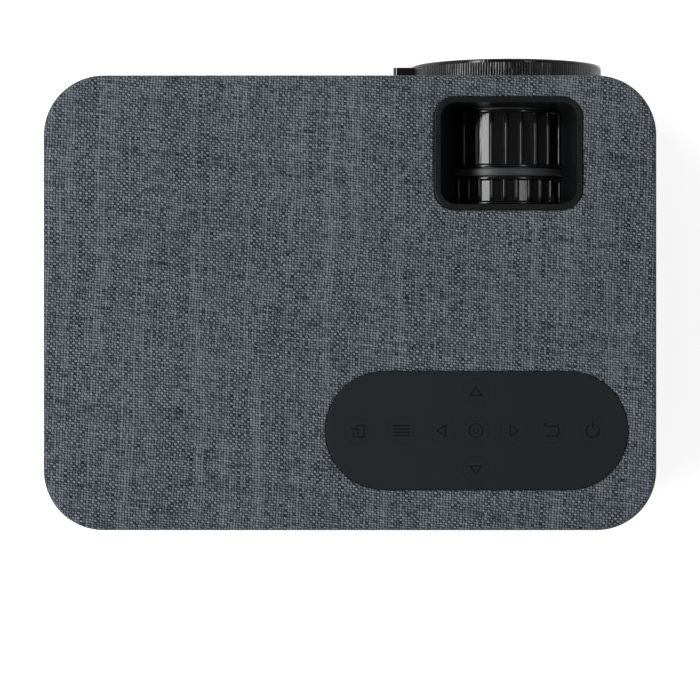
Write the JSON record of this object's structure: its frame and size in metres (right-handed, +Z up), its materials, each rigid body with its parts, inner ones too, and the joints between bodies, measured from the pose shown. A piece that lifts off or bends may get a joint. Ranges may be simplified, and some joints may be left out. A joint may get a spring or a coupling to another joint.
{
  "type": "video projector with disc drive",
  "caption": "Table-top video projector with a cloth-covered deck, focus and keystone wheels, key panel and a tray-type disc drive in its side.",
  "frame": {"origin": "floor under the middle of the whole outline, on the plane of the rubber feet", "axes": "+Z up, the lens looks along -Y, +X is towards the side with the disc drive"},
  "size_m": [0.26, 0.2008, 0.0986],
  "materials": {
    "housing_plastic": "fine matt texture",
    "gloss_black": "polished black",
    "satin_black": "satin black",
    "soft_black": "soft-touch matt black",
    "deck_cloth": "blue-grey melange linen weave",
    "lens_glass": "coated",
    "clear_plastic": "clear moulded",
    "receiver_red": "dark infra-red window",
    "board_green": "solder mask",
    "heatsink_metal": "extruded",
    "sheet_steel": "zinc plated",
    "rod_steel": "ground",
    "dark_steel": "black oxide",
    "insert_brass": "turned",
    "foot_rubber": "matt",
    "cone_paper": "pressed"
  },
  "bodies": {
    "housing": {"audio_jacks": "satin_black", "bottom_shell": "housing_plastic", "case_screws": "dark_steel", "condenser_lens": "lens_glass", "drive_chassis": "sheet_steel", "drive_cover": "sheet_steel", "fabric_skin": "deck_cloth", "fan_frame": "satin_black", "fresnel_lenses": "clear_plastic", "hdmi_socket": "sheet_steel", "heatsink": "heatsink_metal", "key_board": "board_green", "key_panel": "soft_black", "lamp_board": "board_green", "lcd_panel": "gloss_black", "lens_collars": "satin_black", "lens_mount": "satin_black", "lens_ring": "gloss_black", "light_tunnel": "satin_black", "main_board": "board_green", "mains_inlet": "satin_black", "power_board": "board_green", "rear_panel": "housing_plastic", "receiver_window": "receiver_red", "rubber_feet": "foot_rubber", "side_grille": "housing_plastic", "speaker": "cone_paper", "speaker_grille": "housing_plastic", "top_cover": "housing_plastic", "tripod_insert": "insert_brass", "usb_socket": "sheet_steel", "wheel_well": "satin_black"},
    "focus_wheel": {"focus_ring": "gloss_black"},
    "keystone_wheel": {"keystone_ring": "gloss_black"},
    "carrier": {"lens_carrier": "satin_black"},
    "barrel": {"lens_barrel": "satin_black", "front_glass": "lens_glass", "rear_glass": "lens_glass"},
    "tray": {"disc_tray": "satin_black", "tray_fascia": "satin_black", "spindle_motor": "sheet_steel", "guide_rods": "rod_steel"},
    "rails": {"slide_rails": "sheet_steel"},
    "disc_table": {"turntable": "satin_black"},
    "sled": {"pickup_sled": "satin_black"},
    "sled_screw": {"lead_screw": "rod_steel"},
    "eject": {"eject_button": "satin_black"},
    "rotor": {"fan_rotor": "satin_black"},
    "foot_post": {"foot_stud": "rod_steel"},
    "foot_wheel": {"foot_knob": "satin_black"},
    "source_key": {"key_source": "soft_black"},
    "menu_key": {"key_menu": "soft_black"},
    "left_key": {"key_left": "soft_black"},
    "select_key": {"key_select": "soft_black"},
    "right_key": {"key_right": "soft_black"},
    "back_key": {"key_back": "soft_black"},
    "power_key": {"key_power": "soft_black"},
    "up_key": {"key_up": "soft_black"},
    "down_key": {"key_down": "soft_black"}
  },
  "joints": [
    {"name": "focus_turn", "type": "hinge", "parent": "housing", "child": "focus_wheel", "pos_m": [-0.0685, -0.06765, 0.048], "axis": [0, 1, 0], "range_deg": [-75, 75]},
    {"name": "keystone_turn", "type": "hinge", "parent": "housing", "child": "keystone_wheel", "pos_m": [-0.0685, -0.0452, 0.048], "axis": [0, 1, 0], "range_deg": [-25, 25]},
    {"name": "carrier_tilt", "type": "hinge", "parent": "housing", "child": "carrier", "pos_m": [-0.0685, -0.0434, 0.048], "axis": [1, 0, 0], "range_deg": [-2.5, 2.5]},
    {"name": "lens_focus", "type": "slide", "parent": "carrier", "child": "barrel", "axis": [0, -1, 0], "range_m": [-0.004, 0.004]},
    {"name": "tray_slide", "type": "slide", "parent": "housing", "child": "tray", "axis": [1, 0, 0], "range_m": [0, 0.122]},
    {"name": "rail_slide", "type": "slide", "parent": "housing", "child": "rails", "axis": [1, 0, 0], "range_m": [0, 0.061]},
    {"name": "disc_spin", "type": "hinge", "parent": "tray", "child": "disc_table", "pos_m": [0.064, 0.0034, 0.0475], "axis": [0, 0, 1], "continuous": true},
    {"name": "sled_slide", "type": "slide", "parent": "tray", "child": "sled", "axis": [1, 0, 0], "range_m": [0, 0.033]},
    {"name": "screw_turn", "type": "hinge", "parent": "tray", "child": "sled_screw", "pos_m": [0.094, 0.0234, 0.0456], "axis": [1, 0, 0], "range_deg": [0, 1985]},
    {"name": "eject_press", "type": "slide", "parent": "tray", "child": "eject", "axis": [-1, 0, 0], "range_m": [0, 0.0008], "stiffness_N_per_m": 500},
    {"name": "fan_spin", "type": "hinge", "parent": "housing", "child": "rotor", "pos_m": [-0.0685, 0.0868, 0.048], "axis": [0, 1, 0], "continuous": true},
    {"name": "foot_travel", "type": "slide", "parent": "housing", "child": "foot_post", "axis": [0, 0, -1], "range_m": [0, 0.012]},
    {"name": "foot_turn", "type": "hinge", "parent": "foot_post", "child": "foot_wheel", "pos_m": [0, -0.0731, 0.0022], "axis": [0, 0, -1], "range_deg": [0, 2165]},
    {"name": "source_press", "type": "slide", "parent": "housing", "child": "source_key", "axis": [0, 0, -1], "range_m": [0, 0.0004], "stiffness_N_per_m": 800},
    {"name": "menu_press", "type": "slide", "parent": "housing", "child": "menu_key", "axis": [0, 0, -1], "range_m": [0, 0.0004], "stiffness_N_per_m": 800},
    {"name": "left_press", "type": "slide", "parent": "housing", "child": "left_key", "axis": [0, 0, -1], "range_m": [0, 0.0004], "stiffness_N_per_m": 800},
    {"name": "select_press", "type": "slide", "parent": "housing", "child": "select_key", "axis": [0, 0, -1], "range_m": [0, 0.0004], "stiffness_N_per_m": 800},
    {"name": "right_press", "type": "slide", "parent": "housing", "child": "right_key", "axis": [0, 0, -1], "range_m": [0, 0.0004], "stiffness_N_per_m": 800},
    {"name": "back_press", "type": "slide", "parent": "housing", "child": "back_key", "axis": [0, 0, -1], "range_m": [0, 0.0004], "stiffness_N_per_m": 800},
    {"name": "power_press", "type": "slide", "parent": "housing", "child": "power_key", "axis": [0, 0, -1], "range_m": [0, 0.0004], "stiffness_N_per_m": 800},
    {"name": "up_press", "type": "slide", "parent": "housing", "child": "up_key", "axis": [0, 0, -1], "range_m": [0, 0.0004], "stiffness_N_per_m": 800},
    {"name": "down_press", "type": "slide", "parent": "housing", "child": "down_key", "axis": [0, 0, -1], "range_m": [0, 0.0004], "stiffness_N_per_m": 800}
  ],
  "couplings": [
    {"joint": "lens_focus", "follows": "focus_turn", "m_per_rad": 0.00305},
    {"joint": "carrier_tilt", "follows": "keystone_turn", "ratio": 0.0999},
    {"joint": "rail_slide", "follows": "tray_slide", "ratio": 0.5},
    {"joint": "screw_turn", "follows": "sled_slide", "rad_per_m": 1047.2},
    {"joint": "foot_turn", "follows": "foot_travel", "rad_per_m": 3141.6}
  ]
}
